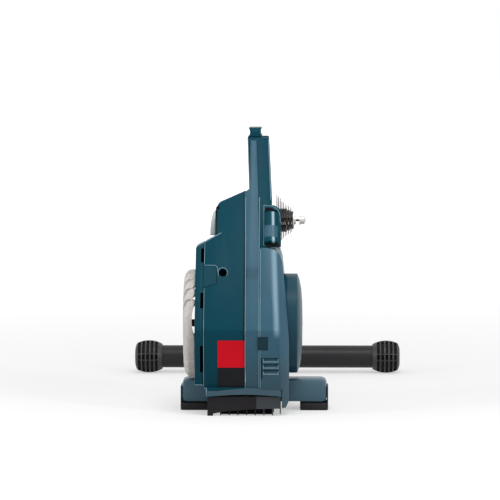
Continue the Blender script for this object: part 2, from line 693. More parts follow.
def lower_right_cover():
    """The bulging cover over the oil unit, with a pocket, louvres and a round hole for the dome."""
    left, right, top = LOWER_COVER_LEFT, LOWER_RIGHT_SIDE, LOWER_COVER_TOP
    toe_left = 38 * MM
    low = RIGHT_COVER_LOW
    behind = [
        (left, CASE_BOTTOM), (left, top), (8 * MM, top), (24 * MM, top - 5 * MM), (33 * MM, top - 13 * MM),
        (38 * MM, top - 27 * MM), (45 * MM, 240 * MM), (right, 150 * MM), (right, low + 13 * MM),
        (right - 6 * MM, low), (toe_left, low), (toe_left, CASE_BOTTOM)]

    def side(high):
        return rear_line(low, high, BULGE) + [
            (AXLE_COVER_RADIUS, high), (AXLE_COVER_RADIUS, FRONT_BEND_TOP), (CASE_FRONT, FRONT_BEND_LOW)]

    bottom = [(CASE_FRONT, 110 * MM), (FOOT_BACK - WALL, FOOT_TOP + WALL), (FOOT_BACK - WALL, low)]
    room_above = top + 4 * WALL
    flank = flank_rooms("flank_room", low - WALL, room_above, 0)
    cover = moulded("lower_right_cover", behind, side(top) + bottom, "pale_teal", FLANK_ROUND, flank)
    hollow = [
        (left - 10 * MM, FLOOR_OPENING), (left - 10 * MM, room_above), (CORE_RIGHT - WALL, room_above),
        (CORE_RIGHT - WALL, top - 2 * WALL), (22 * MM, top - 3 * WALL), (29 * MM, top - 16 * MM),
        (34 * MM, top - 29 * MM), (45 * MM - WALL, 240 * MM),
        (right - WALL, 150 * MM), (right - WALL, low + 15 * MM), (right - 9 * MM, low + WALL),
        (toe_left + WALL, low + WALL), (toe_left + WALL, FLOOR_OPENING)]
    cassette_room = FREEHUB_RADIUS + 45 * MM
    inner_side = inset(side(room_above) + [(CASE_FRONT, -WALL), (rear_y(low, BULGE), -WALL)], WALL)
    inside = moulded("lower_cover_hollow", hollow, inner_side)
    cut(inside, *flank_rooms("inner_flank", -WALL, room_above + WALL, WALL))
    cut(inside, rod("cassette_room_wall", AXLE, cassette_room + WALL, 20 * MM - WALL, 90 * MM, sides=48))
    cut(cover, inside)
    behind_wall = WALL - 0.5 * MM
    pocket_back = face_block("pocket_back", LOWER_COVER_LEFT + GAP, POCKET_RIGHT + WALL, POCKET_LOW - WALL,
                             POCKET_HIGH + WALL, 2 * WALL, 2 * WALL, behind_wall, BULGE)
    louvre_back = face_block("louvre_back", LOWER_COVER_LEFT + GAP, LOUVRE_RIGHT + 1 * MM, VENT_LOW - WALL,
                             VENT_HIGH + WALL, 3 * WALL, 3 * WALL, behind_wall, BULGE)
    join(cover, pocket_back, louvre_back)
    for number, lip in enumerate(LOUVRE_LIPS):
        cut(cover, face_block(f"louvre_{number}", LOUVRE_LEFT, LOUVRE_RIGHT, lip, lip + LOUVRE_HEIGHT,
                              0.5 * MM, LOUVRE_DEPTH, proud=BULGE))
    vent = face_block("vent", LOUVRE_LEFT - 4 * MM, LOUVRE_LEFT - 1.2 * MM, VENT_LOW, VENT_HIGH,
                      LOUVRE_DEPTH, LOUVRE_DEPTH, proud=BULGE)
    pocket = face_block("pocket", POCKET_LEFT, POCKET_RIGHT, POCKET_LOW, POCKET_HIGH,
                        2 * POCKET_DEPTH, 2 * POCKET_DEPTH, proud=BULGE)
    opening = rod("dome_opening", LOWER_SHAFT, DOME_RADIUS + 1.5 * MM, 36 * MM, 90 * MM, sides=48)
    scallop = rod("cassette_room", AXLE, cassette_room, 20 * MM, 90 * MM, sides=48)
    return cut(cover, vent, pocket, opening, scallop)


def dome_cover():
    """The round domed cover over the oil unit's right end, standing on a boss on the housing's cover."""
    boss_x = HOUSING_RIGHT + 8.3 * MM
    profile = [
        (DOME_RIGHT, 0), (DOME_RIGHT - 0.5 * MM, 40 * MM), (DOME_RIGHT - 2.5 * MM, 70 * MM),
        (DOME_RIGHT - 6 * MM, 88 * MM), (DOME_FLAT, 97 * MM), (DOME_FLAT - 2 * MM, DOME_RADIUS),
        (DOME_LEFT, DOME_RADIUS), (DOME_LEFT, DOME_RADIUS - WALL), (DOME_FLAT - 3 * MM, DOME_RADIUS - WALL),
        (DOME_FLAT - 1 * MM, 93 * MM), (DOME_RIGHT - 5.5 * MM, 68 * MM), (DOME_RIGHT - 3.5 * MM, 40 * MM),
        (DOME_RIGHT - 3 * MM, 14 * MM), (boss_x, 12 * MM), (boss_x, 0)]
    return turned("dome_cover", profile, LOWER_SHAFT, "teal", sides=40)


SPINE_PROUD = 4 * MM


def spine_cover():
    """The pale strip down the middle of the rear face, narrower on the fin."""
    behind = [
        (SPLIT_X, CASE_BOTTOM + 1 * MM), (SPLIT_X - 3 * MM, 300 * MM), (SPLIT_X - 5 * MM, SHOULDER_HEIGHT - 8 * MM),
        (-28 * MM, SHOULDER_HEIGHT), (-28 * MM, FIN_TOP - 6 * MM), (-15.5 * MM, FIN_TOP - 6 * MM),
        (-11 * MM, SHOULDER_HEIGHT - 20 * MM), (-5.5 * MM, 200 * MM), (-5.5 * MM, CASE_BOTTOM + 1 * MM)]
    front = [(y + SPINE_PROUD - GAP, z) for y, z in rear_line(CASE_BOTTOM, FIN_TOP - 6 * MM, SPINE_PROUD)]
    back = rear_line(CASE_BOTTOM, FIN_TOP - 6 * MM, SPINE_PROUD)
    strip = moulded("spine_cover", behind, back + front[::-1], "pale_teal", 1.2 * MM)
    return cut(strip, face_block("spine_pocket", POCKET_LEFT, POCKET_RIGHT, POCKET_LOW, POCKET_HIGH,
                                 POCKET_DEPTH, POCKET_DEPTH, proud=SPINE_PROUD))


def handle():
    """A strap over the fin's finger gap, with flared ends."""
    rear, front = rear_y(FIN_TOP) + 1.5 * MM, FIN_FRONT - 1.5 * MM
    low, top = FIN_TOP + GAP, FIN_TOP + 19 * MM
    foot = FIN_RING - 2 * MM
    side = [
        (rear, low), (rear, top - 7 * MM), (rear + 7 * MM, top), (front - 7 * MM, top), (front, top - 7 * MM),
        (front, low), (front - foot, low), (front - foot - 4 * MM, low + 8 * MM),
        (rear + foot + 4 * MM, low + 8 * MM), (rear + foot, low)]
    grip = prism("handle", side, SPLIT_X + 1 * MM, SPLIT_X + 30 * MM, SIDE_VIEW, "teal")
    bevel(grip, 2.5 * MM)
    return grip


LIP_LOW = 39 * MM
LIP_RISE = 6 * MM
STAND_LEFT = -111 * MM
STAND_RIGHT = 36 * MM


def bottom_trim():
    """The flared lip that runs along the lower edge of the rear face, arched along its own lower edge."""
    left, right = LEFT_SIDE + 5.5 * MM, STAND_RIGHT + 1 * MM
    top = CASE_BOTTOM - GAP
    middle, half = (left + right) / 2, (right - left) / 2
    arch = [(middle + half * share, LIP_LOW + LIP_RISE * (1 - share ** 2))
            for share in (1, 0.75, 0.5, 0.25, 0, -0.25, -0.5, -0.75, -1)]
    behind = [(left, top), (right, top)] + arch
    back = rear_y(CASE_BOTTOM)
    side = [(back, top), (back - 7 * MM, LIP_LOW - 2 * MM), (back + 6 * MM, LIP_LOW - 2 * MM), (back + 14 * MM, top)]
    return moulded("bottom_trim", behind, side, "pale_teal", 1 * MM)


STAND_TOP = 38.5 * MM
STAND_PLATE_BACK = -189 * MM
STAND_FRONT = -130 * MM
COMB_RIBS = 7
COMB_LEFT = -84.5 * MM
COMB_PITCH = 17.3 * MM
RIB = 2.4 * MM


def rear_stand():
    """The black foot under the casing: a plate, a roof and a comb of ribs that reach nearly to the floor."""
    plate = prism("rear_stand", [
        (STAND_LEFT, 0), (STAND_LEFT, STAND_TOP), (STAND_RIGHT, STAND_TOP), (STAND_RIGHT, 4 * MM),
        (STAND_RIGHT - RIB, 4 * MM), (STAND_RIGHT - RIB, 14.5 * MM), (-16 * MM, 13.5 * MM), (-70 * MM, 9.5 * MM),
        (STAND_LEFT + 12 * MM, 4.5 * MM), (STAND_LEFT + 11 * MM, 0)],
        STAND_PLATE_BACK, STAND_PLATE_BACK + 4 * MM, REAR_VIEW, "black_plastic")
    roof = block("stand_roof", (STAND_LEFT, STAND_PLATE_BACK + 2 * MM, STAND_TOP - 3 * MM),
                 (STAND_RIGHT, STAND_FRONT, STAND_TOP))
    join(plate, roof)
    for number in range(COMB_RIBS):
        left = COMB_LEFT + number * COMB_PITCH - RIB / 2
        join(plate, block(f"comb_rib_{number}", (left, STAND_PLATE_BACK + 2 * MM, 1 * MM),
                          (left + RIB, STAND_FRONT, STAND_TOP - 1 * MM)))
    back_bar = block("comb_back", (COMB_LEFT - RIB, STAND_FRONT - 3 * MM, 1 * MM),
                     (COMB_LEFT + (COMB_RIBS - 1) * COMB_PITCH + RIB, STAND_FRONT, STAND_TOP - 2 * MM))
    return join(plate, back_bar)


LABEL_LEFT = -90 * MM
LABEL_RIGHT = -35.5 * MM
LABEL_THICKNESS = 0.8 * MM


def label(name, low, top, finish):
    """A thin bare plate on the left part of the rear face, below the crease."""
    back = [(y - GAP, z) for y, z in rear_line(low, top)]
    outer = [(y - GAP - LABEL_THICKNESS, z) for y, z in rear_line(low, top)]
    return prism(name, outer + back[::-1], LABEL_LEFT, LABEL_RIGHT, SIDE_VIEW, finish)


def side_plate(name, left):
    """A steel plate from the base up to the axle, bored for the hub's and the lower shaft's bearings."""
    low = CROSS_TUBE_HIGH + GAP
    outline = [
        (CASE_FRONT - 12 * MM, low), (CASE_FRONT - 8 * MM, 280 * MM), (34 * MM, AXLE_HEIGHT - 20 * MM)]
    outline += arc((0, AXLE_HEIGHT), 34 * MM, 0, 180, 9)
    outline += [
        (-40 * MM, AXLE_HEIGHT - 50 * MM), (-104 * MM, 240 * MM), (-150 * MM, 130 * MM), (-150 * MM, low)]
    hub_bore = arc((0, AXLE_HEIGHT), HUB_BEARING_RADIUS + GAP, 0, 360 - 360 / 32, 32)
    shaft_bore = arc((-LOWER_SHAFT_BACK, LOWER_SHAFT_HEIGHT), LOWER_BEARING_RADIUS + GAP, 0, 360 - 360 / 32, 32)
    return prism(name, outline, left, left + PLATE_THICKNESS, SIDE_VIEW, "black_paint", (hub_bore, shaft_bore))


BEAM_LEFT = -34 * MM
BEAM_RIGHT = 10 * MM
BEAM_LOW = 24 * MM


def cross_tube():
    """The square steel tube inside the rear feet."""
    tube = block("cross_tube", (FOOT_LEFT_END + 5 * MM, CROSS_TUBE_BACK, CROSS_TUBE_LOW),
                 (FOOT_RIGHT_END - 5 * MM, CROSS_TUBE_BACK + CROSS_TUBE_DEPTH, CROSS_TUBE_HIGH), "black_paint")
    return cut(tube, block(
        "cross_tube_bore", (FOOT_LEFT_END - 5 * MM, CROSS_TUBE_BACK + STEEL_WALL, CROSS_TUBE_LOW + STEEL_WALL),
        (FOOT_RIGHT_END + 5 * MM, CROSS_TUBE_BACK + CROSS_TUBE_DEPTH - STEEL_WALL, CROSS_TUBE_HIGH - STEEL_WALL)))


def base_beam():
    """The steel box that runs forwards from the cross tube to the leg's hinge."""
    back = CROSS_TUBE_BACK + CROSS_TUBE_DEPTH + GAP
    front = HINGE_FORWARD - LUG_RADIUS - 8 * MM
    beam = block("base_beam", (BEAM_LEFT, back, BEAM_LOW), (BEAM_RIGHT, front, CROSS_TUBE_HIGH), "black_paint")
    return cut(beam, block(
        "base_beam_bore", (BEAM_LEFT + STEEL_WALL, back - 5 * MM, BEAM_LOW + STEEL_WALL),
        (BEAM_RIGHT - STEEL_WALL, front + 5 * MM, CROSS_TUBE_HIGH - STEEL_WALL)))


def hexagon_bore(radius):
    """A six sided bore's corner radius, whose flats clear a round rod."""
    return (radius + GAP) / math.cos(math.pi / 6)


def hinge_bracket():
    """A plate on the beam's end with two ears, bored for the hinge pin and the clamping stud's welded nut."""
    back = HINGE_FORWARD - LUG_RADIUS - 8 * MM + GAP
    plate_front = back + 4 * MM
    ear_gap = LUG_THICKNESS / 2 + GAP
    lock = (HINGE_FORWARD, HINGE_HEIGHT + LOCK_RADIUS)
    ear = [(back + 1 * MM, BEAM_LOW), (back + 1 * MM, 100 * MM), (HINGE_FORWARD - 14 * MM, lock[1] + 10 * MM)]
    ear += arc(lock, 12 * MM, 90, 0, 5)
    ear += arc((HINGE_FORWARD, HINGE_HEIGHT), 16 * MM, 0, -90, 5)
    pin_bore = arc((HINGE_FORWARD, HINGE_HEIGHT), HINGE_PIN_RADIUS + GAP, 0, 345, 24)
    stud_bore = arc(lock, STUD_RADIUS + GAP, 0, 345, 24)
    bracket = block("hinge_bracket", (BEAM_LEFT, back, BEAM_LOW), (-BEAM_LEFT, plate_front, 100 * MM), "black_paint")
    for name, low in (("left_ear", -ear_gap - EAR_THICKNESS), ("right_ear", ear_gap)):
        join(bracket, prism(name, ear, low, low + EAR_THICKNESS, SIDE_VIEW, None, (pin_bore, stud_bore)))
    left = -ear_gap - EAR_THICKNESS
    nut_bore = hexagon_bore(STUD_RADIUS)
    nut = [
        (left + 1 * MM, 8 * MM), (left - 5 * MM, 8 * MM), (left - 5 * MM, nut_bore), (left + 1 * MM, nut_bore)]
    return join(bracket, turned("welded_nut", nut, HINGE + Vector((0, 0, LOCK_RADIUS)), None, 6, ring=True))


def hinge_pin():
    half = LUG_THICKNESS / 2 + EAR_THICKNESS + 2 * GAP
    head = HINGE_PIN_RADIUS + 4 * MM
    profile = [
        (half + 4 * MM, 0), (half + 4 * MM, head), (half, head), (half, HINGE_PIN_RADIUS),
        (-half - 6 * MM, HINGE_PIN_RADIUS), (-half - 6 * MM, 0)]
    return turned("hinge_pin", profile, HINGE, "steel", sides=24)


FOOT_ROUND = 10 * MM


def foot_shell(name, left, right):
    """A moulded shell over the cross tube, open below and towards the middle."""
    opens_right = left == FOOT_LEFT_END
    inner_left = left + WALL if opens_right else left - 10 * MM
    inner_right = right + 10 * MM if opens_right else right - WALL
    low = PAD_HEIGHT + GAP
    front = FOOT_BACK + FOOT_DEPTH
    shell = block(name, (left, FOOT_BACK, low), (right, front, FOOT_TOP), "pale_teal", FOOT_ROUND)
    hollow = block(name + "_hollow", (inner_left, FOOT_BACK + WALL, low - 10 * MM),
                   (inner_right, front - WALL, FOOT_TOP - WALL), rounded=FOOT_ROUND - WALL)
    return cut(shell, hollow)


LIP_THICKNESS = 3 * MM
LIP_HEIGHT = 48 * MM


def foot_pad(name, outer, inner):
    """A rubber pad under a foot's outer part, with a lip that wraps up the foot's end."""
    side = 1 if outer > inner else -1
    front = FOOT_BACK + FOOT_DEPTH
    lip_outer = outer + side * LIP_THICKNESS
    left, right = min(lip_outer, inner), max(lip_outer, inner)
    pad = block(name, (left, FOOT_BACK, 0), (right, front, PAD_HEIGHT), "rubber", 3 * MM)
    plug_edge = FOOT_ROUND          # clear of the shell's rounded corners
    plug_left, plug_right = min(outer - side * plug_edge, inner), max(outer - side * plug_edge, inner)
    plug = block(name + "_plug", (plug_left, FOOT_BACK + plug_edge, PAD_HEIGHT - 4 * MM),
                 (plug_right, front - plug_edge, CROSS_TUBE_LOW - GAP))
    lip_left, lip_right = min(lip_outer, outer + side * GAP), max(lip_outer, outer + side * GAP)
    lip = block(name + "_lip", (lip_left, FOOT_BACK + 7 * MM, PAD_HEIGHT - 5 * MM),
                (lip_right, front - 7 * MM, LIP_HEIGHT))
    return join(pad, plug, lip)


BAR_INSET = 8 * MM                  # from the barrels' outer ends to the bar's own ends


def front_bar():
    """The cross tube of the front leg, open at both ends inside the barrels."""
    half = BAR_HALF_LENGTH - BAR_INSET
    profile = [(half, BAR_RADIUS), (-half, BAR_RADIUS), (-half, BAR_RADIUS - TUBE_WALL), (half, BAR_RADIUS - TUBE_WALL)]
    return turned("front_bar", profile, BAR, "black_paint", sides=32, ring=True)


BARREL_GROOVES = 5
BARREL_FIRST_GROOVE = 10 * MM       # from the barrel's outer end to the middle of its first groove
BARREL_GROOVE_PITCH = 9.4 * MM
BARREL_GROOVE_WIDTH = 6.2 * MM
BARREL_GROOVE_DEPTH = 2.4 * MM
BARREL_SWELL = 8.5 * MM             # how much thicker the barrel is in its middle than at its ends


def barrel(name, side):
    """A swelling, grooved rubber cup on the bar's end, which rests on the floor."""
    end = side * BAR_HALF_LENGTH
    bore = BAR_RADIUS + GAP

    def radius(depth):
        share = abs(2 * depth / BARREL_LENGTH - 1)
        return BARREL_RADIUS - BARREL_SWELL * share ** 2.2

    profile = [(0, 0), (0, BARREL_RADIUS - 2.2 * BARREL_SWELL), (1.5 * MM, BARREL_RADIUS - 1.4 * BARREL_SWELL),
               (4 * MM, radius(4 * MM))]
    for number in range(BARREL_GROOVES):
        middle = BARREL_FIRST_GROOVE + number * BARREL_GROOVE_PITCH
        start, stop = middle - BARREL_GROOVE_WIDTH / 2, middle + BARREL_GROOVE_WIDTH / 2
        floor = min(radius(start), radius(stop)) - BARREL_GROOVE_DEPTH
        profile += [(start, radius(start)), (start + 0.4 * MM, floor), (stop - 0.4 * MM, floor), (stop, radius(stop))]
    profile += [
        (BARREL_LENGTH - 4 * MM, radius(BARREL_LENGTH - 4 * MM)), (BARREL_LENGTH, BARREL_RADIUS - BARREL_SWELL),
        (BARREL_LENGTH, bore), (BAR_INSET - GAP, bore), (BAR_INSET - GAP, 0)]
    profile = [(end - side * depth, size) for depth, size in profile]
    if side < 0:
        profile.reverse()
    return turned(name, profile, BAR, "rubber", sides=24)


SLOT_SPARE = 3                      # degrees of slot beyond each end of the leg's swing


def leg_tube():
    """The leg's long tube, coped onto the bar, with the slotted lug that turns on the hinge pin."""
    along = Vector((0, BAR.y - HINGE.y, BAR.z - HINGE.z))
    slope = math.atan2(along.z, along.y)
    start = LOCK_RADIUS + KNOB_RADIUS + WALL
    length = along.length - start
    bpy.ops.mesh.primitive_cylinder_add(vertices=32, radius=LEG_TUBE_RADIUS, depth=length)
    tube = bpy.context.object
    smooth(tube.data)
    place(tube, "leg_tube", "black_paint")
    tube.rotation_euler = (slope - math.pi / 2, 0, 0)
    tube.location = HINGE + along.normalized() * (start + length / 2)
    cut(tube, rod("bar_room", BAR, BAR_RADIUS + GAP, -60 * MM, 60 * MM))
    lug = arc((HINGE_FORWARD, HINGE_HEIGHT), LUG_RADIUS, 110, -40, 16)
    reach = HINGE_FORWARD + start + 12 * MM
    lug = lug[:9] + [(reach, HINGE_HEIGHT + 12 * MM), (reach, HINGE_HEIGHT - 14 * MM)] + lug[13:]
    lug += arc((HINGE_FORWARD, HINGE_HEIGHT), 16 * MM, -70, -200, 8)
    pin_bore = arc((HINGE_FORWARD, HINGE_HEIGHT), HINGE_PIN_RADIUS + GAP, 0, 345, 24)
    half_slot = STUD_RADIUS + RUNNING
    hinge = (HINGE_FORWARD, HINGE_HEIGHT)
    first, last = 90 + SLOT_SPARE, 90 - math.degrees(FOLD_ANGLE) - SLOT_SPARE
    slot = []
    for offset, start, end in ((half_slot, first, last), (-half_slot, last, first)):
        slot += arc(hinge, LOCK_RADIUS + offset, start, end, 12)
        end_centre = arc(hinge, LOCK_RADIUS, end, end, 2)[0]
        facing = end if offset > 0 else end + 180
        slot += arc(end_centre, half_slot, facing, facing - 180, 8)[1:-1]
    half = LUG_THICKNESS / 2
    return join(tube, prism("leg_lug", lug, -half, half, SIDE_VIEW, None, (pin_bore, slot)))


def lock_knob():
    """The clamping knob, whose stud passes through both ears and the lug's slot."""
    centre = HINGE + Vector((0, 0, LOCK_RADIUS))
    ear_outer = LUG_THICKNESS / 2 + GAP + EAR_THICKNESS
    grip_left = ear_outer + 2 * MM
    grip_right = grip_left + 20 * MM
    profile = [
        (grip_right, 0), (grip_right, KNOB_RADIUS - 7 * MM), (grip_right - 3 * MM, KNOB_RADIUS - 4 * MM),
        (grip_left + 3 * MM, KNOB_RADIUS - 4 * MM), (grip_left, KNOB_RADIUS - 8 * MM), (grip_left, 9 * MM),
        (ear_outer + GAP, 9 * MM), (ear_outer + GAP, STUD_RADIUS), (-ear_outer - 5 * MM, STUD_RADIUS),
        (-ear_outer - 5 * MM, 0)]
    knob = turned("lock_knob", profile, centre, "black_plastic", sides=24)
    for number in range(3):
        angle = math.radians(90 + 120 * number)
        lobe_centre = centre + (KNOB_RADIUS - 6 * MM) * Vector((0, math.cos(angle), math.sin(angle)))
        join(knob, rod(f"knob_lobe_{number}", lobe_centre, 6 * MM, grip_left + 2 * MM, grip_right - 2 * MM, sides=14))
    return knob


def ring(name, centre, left, right, outer, bore, finish, sides=32):
    """A plain turned ring between two X values."""
    profile = [(right, outer), (left, outer), (left, bore), (right, bore)]
    return turned(name, profile, centre, finish, sides, ring=True)


def bearing(name, centre, left, width, outer, bore):
    """A ball bearing as one ring, with a shallow groove in its outer face between its races."""
    right = left + width
    middle = (outer + bore) / 2
    half = (outer - bore) * 0.16
    dip = 0.8 * MM
    profile = [
        (right, outer), (left, outer), (left, middle + half), (left + dip, middle),
        (left, middle - half), (left, bore), (right, bore)]
    return turned(name, profile, centre, "steel", 24, ring=True)


HUB_LEFT = -37 * MM
END_CAP_LEFT_INNER = HUB_LEFT - 1 * MM
HUB_RIGHT = FREEHUB_LEFT + FREEHUB_LENGTH
HUB_BORE = AXLE_RADIUS + RUNNING
FREEHUB_BORE = HUB_RADIUS + GAP


def axle():
    """The hollow axle that stands still in the bicycle's dropouts."""
    half = DROPOUT_WIDTH / 2 - 1 * MM
    return ring("axle", AXLE, -half, half, AXLE_RADIUS, SKEWER_RADIUS + GAP, "steel", 24)


def end_caps():
    """The sleeves on the axle's ends, whose outer faces meet the dropouts."""
    half = DROPOUT_WIDTH / 2
    bore = AXLE_RADIUS + GAP
    ring("left_end_cap", AXLE, -half, END_CAP_LEFT_INNER, END_CAP_RADIUS, bore, "aluminium")
    ring("right_end_cap", AXLE, HUB_RIGHT + 1 * MM, half, END_CAP_RADIUS - 3 * MM, bore, "aluminium", 24)


def hub_shaft():
    """The turning sleeve that carries the drive pulley and the freehub."""
    profile = [
        (HUB_RIGHT, HUB_RADIUS), (FREEHUB_LEFT - 1 * MM, HUB_RADIUS), (FREEHUB_LEFT - 1 * MM, HUB_RADIUS + 2 * MM),
        (RIGHT_HUB_BEARING_X + HUB_BEARING_WIDTH + 1 * MM, HUB_RADIUS + 2 * MM),
        (RIGHT_HUB_BEARING_X + HUB_BEARING_WIDTH + 1 * MM, HUB_RADIUS), (HUB_LEFT, HUB_RADIUS),
        (HUB_LEFT, HUB_BORE), (HUB_RIGHT, HUB_BORE)]
    return turned("hub_shaft", profile, AXLE, "steel", 24, ring=True)


def pulley(name, centre, radius, bore, web, finish):
    """A grooved pulley: rim, web and boss, for a ribbed belt."""
    right = BELT_CENTRE_X + PULLEY_WIDTH / 2
    left = right - PULLEY_WIDTH
    lip = 1.5 * MM
    profile = [(right, radius + lip), (right - 1.2 * MM, radius), (left + 1.2 * MM, radius), (left, radius + lip)]
    if web:
        boss = bore + 6 * MM
        inner = radius - 6 * MM
        half_web = 2.5 * MM
        profile += [
            (left, inner), (BELT_CENTRE_X - half_web, inner), (BELT_CENTRE_X - half_web, boss), (left, boss),
            (left, bore), (right, bore), (right, boss), (BELT_CENTRE_X + half_web, boss),
            (BELT_CENTRE_X + half_web, inner), (right, inner)]
    else:
        profile += [(left, bore), (right, bore)]
    return turned(name, profile, centre, finish, 36 if web else 24, ring=True)


def drive_pulley():
    """The big pulley on the hub, with lightening holes in its web."""
    wheel = pulley("drive_pulley", AXLE, PULLEY_RADIUS, HUB_RADIUS + GAP, True, "aluminium")
    for number in range(5):
        angle = math.radians(72 * number)
        place_at = AXLE + 36 * MM * Vector((0, math.cos(angle), math.sin(angle)))
        cut(wheel, rod(f"pulley_hole_{number}", place_at, 12 * MM, BELT_CENTRE_X - PULLEY_WIDTH,
                       BELT_CENTRE_X + PULLEY_WIDTH, sides=12))
    return wheel


def belt_outline(extra):
    """The belt's path round both pulleys, a distance outside their rims."""
    big, small = PULLEY_RADIUS + extra, SMALL_PULLEY_RADIUS + extra
    line = Vector((LOWER_SHAFT.y - AXLE.y, LOWER_SHAFT.z - AXLE.z))
    heading = math.degrees(math.atan2(line.y, line.x))
    wrap = math.degrees(math.acos((big - small) / line.length))
    upper = arc((AXLE.y, AXLE.z), big, heading + wrap, heading + 360 - wrap, 26)
    lower = arc((LOWER_SHAFT.y, LOWER_SHAFT.z), small, heading - wrap, heading + wrap, 9)
    return upper + lower


def belt():
    inner = belt_outline(GAP)
    outer = belt_outline(GAP + BELT_THICKNESS)
    half = PULLEY_WIDTH / 2 - 2 * MM
    return prism("belt", outer, BELT_CENTRE_X - half, BELT_CENTRE_X + half, SIDE_VIEW, "belt_rubber", (inner,))


def freehub_body():
    """The splined body that carries the cassette and runs free forwards."""
    ridge = 1.2 * MM
    splines = 9
    outline = []
    for number in range(splines):
        start = 360 / splines * number
        outline += arc((0, AXLE_HEIGHT), FREEHUB_RADIUS, start, start + 14, 3)
        outline += arc((0, AXLE_HEIGHT), FREEHUB_RADIUS - ridge, start + 18, start + 36, 3)
    bore = arc((0, AXLE_HEIGHT), FREEHUB_BORE, 0, 345, 24)
    return prism("freehub_body", outline, FREEHUB_LEFT, FREEHUB_LEFT + FREEHUB_LENGTH - 1 * MM, SIDE_VIEW,
                 "steel", (bore,))


def sprocket_outline(teeth):
    """A sprocket's outline: a root and a tip for each tooth."""
    pitch_radius = CHAIN_PITCH / 2 / math.sin(math.pi / teeth)
    root, tip = pitch_radius - 3.6 * MM, pitch_radius + 2.6 * MM
    step = 2 * math.pi / teeth
    outline = []
    for tooth in range(teeth):
        for offset, radius in ((-0.5, root), (0.0, tip)):
            angle = step * (tooth + offset)
            outline.append((radius * math.cos(angle), AXLE_HEIGHT + radius * math.sin(angle)))
    return outline


SPROCKET_BORE = FREEHUB_RADIUS + GAP
CLUSTERS = (("sprockets_25_23_21", 0, 3), ("sprockets_19_17_15", 3, 6), ("sprockets_14_13", 6, 8),
            ("sprocket_12", 8, 9), ("sprocket_11", 9, 10))


def cassette():
    """The sprockets, largest towards the hub: three riveted clusters and two single ones with their spacers."""
    first = FREEHUB_LEFT + 0.5 * MM
    bore = rod("sprocket_bore", AXLE, SPROCKET_BORE, FREEHUB_LEFT - 10 * MM, DROPOUT_WIDTH / 2, sides=20)
    for name, begin, end in CLUSTERS:
        low = first + begin * SPROCKET_STEP
        high = first + end * SPROCKET_STEP - GAP
        smallest = CHAIN_PITCH / 2 / math.sin(math.pi / SPROCKET_TEETH[end - 1])
        core = max(min(smallest - 5.5 * MM, 24 * MM), SPROCKET_BORE + 1.5 * MM)
        cluster = rod(name, AXLE, core, low + 0.2 * MM, high, "steel", 20)
        for number in range(begin, end):
            left = first + number * SPROCKET_STEP
            join(cluster, prism(f"sprocket_disc_{number}", sprocket_outline(SPROCKET_TEETH[number]),
                                left, left + SPROCKET_THICKNESS))
        cut(cluster, bore)


def lockring():
    left = FREEHUB_LEFT + 0.5 * MM + len(SPROCKET_TEETH) * SPROCKET_STEP
    return ring("lockring", AXLE, left, left + 2 * MM, 18.5 * MM, 13.5 * MM, "aluminium", 28)


CLAMP_FACE = DROPOUT_WIDTH / 2 + DROPOUT_THICKNESS
CAM_X = -CLAMP_FACE - 8 * MM
CAM_HEAD_RADIUS = 5 * MM
CAM_SLOT = 7 * MM


def skewer():
    """The quick release: rod, nut on the drive side, slotted housing and cam lever on the other side."""
    rod("skewer_rod", AXLE, SKEWER_RADIUS, CAM_X + CAM_HEAD_RADIUS + 1 * MM, CLAMP_FACE + 13 * MM, "steel", 16)
    bore = SKEWER_RADIUS + GAP
    nut = [
        (CLAMP_FACE + 12 * MM, 6 * MM), (CLAMP_FACE + 10 * MM, 8 * MM), (CLAMP_FACE + 4 * MM, 8 * MM),
        (CLAMP_FACE + 3 * MM, 9.5 * MM), (CLAMP_FACE, 9.5 * MM), (CLAMP_FACE, bore), (CLAMP_FACE + 12 * MM, bore)]
    turned("skewer_nut", nut, AXLE, "aluminium", 24, ring=True)
    housing = [
        (-CLAMP_FACE, 10 * MM), (-CLAMP_FACE - 3 * MM, 10 * MM), (-CLAMP_FACE - 4 * MM, 8.5 * MM),
        (CAM_X - 5 * MM, 8.5 * MM), (CAM_X - 6 * MM, 7 * MM), (CAM_X - 6 * MM, bore), (-CLAMP_FACE, bore)]
    cup = turned("cam_housing", housing, AXLE, "aluminium", 24, ring=True)
    slot = block("cam_slot", (CAM_X - 12 * MM, -12 * MM, AXLE_HEIGHT - CAM_SLOT / 2),
                 (CAM_X + CAM_HEAD_RADIUS + 1.4 * MM, 12 * MM, AXLE_HEIGHT + CAM_SLOT / 2))
    cut(cup, slot)


def cam_lever():
    """The lever, seen from above: a round head on its pivot and a blade that bows outwards and points forwards."""
    head = arc((0, 0), CAM_HEAD_RADIUS, -180, 20, 10)
    length = 54 * MM
    blade = [(2 * MM, 8 * MM), (-3 * MM, 24 * MM), (-4 * MM, 40 * MM), (-2 * MM, length), (-6 * MM, length + 1 * MM),
             (-9.5 * MM, 42 * MM), (-9 * MM, 24 * MM), (-6 * MM, 8 * MM)]
    half = CAM_SLOT / 2 - 0.6 * MM
    lever = prism("cam_lever", head + blade, -half, half, TOP_VIEW, "aluminium")
    lever.location = (CAM_X, 0, AXLE_HEIGHT)
    return lever


LOWER_BEARING_WIDTH = 9 * MM
CARRIER_LEFT = LEFT_SIDE + 1 * MM
FLYWHEEL_BORE = LOWER_SHAFT_RADIUS + GAP
HOUSING_FLANGE = 8.3 * MM           # thickness of the housing's cover and its joint


def lower_shaft():
    """The shaft that joins the flywheel, the small pulley and the rotor in the oil."""
    left, right = FLYWHEEL_OUTER_X + 2 * MM, HOUSING_RIGHT - 6 * MM
    profile = [(right, 0), (right, LOWER_SHAFT_RADIUS), (left, LOWER_SHAFT_RADIUS), (left, 0)]
    return turned("lower_shaft", profile, LOWER_SHAFT, "steel", 28)


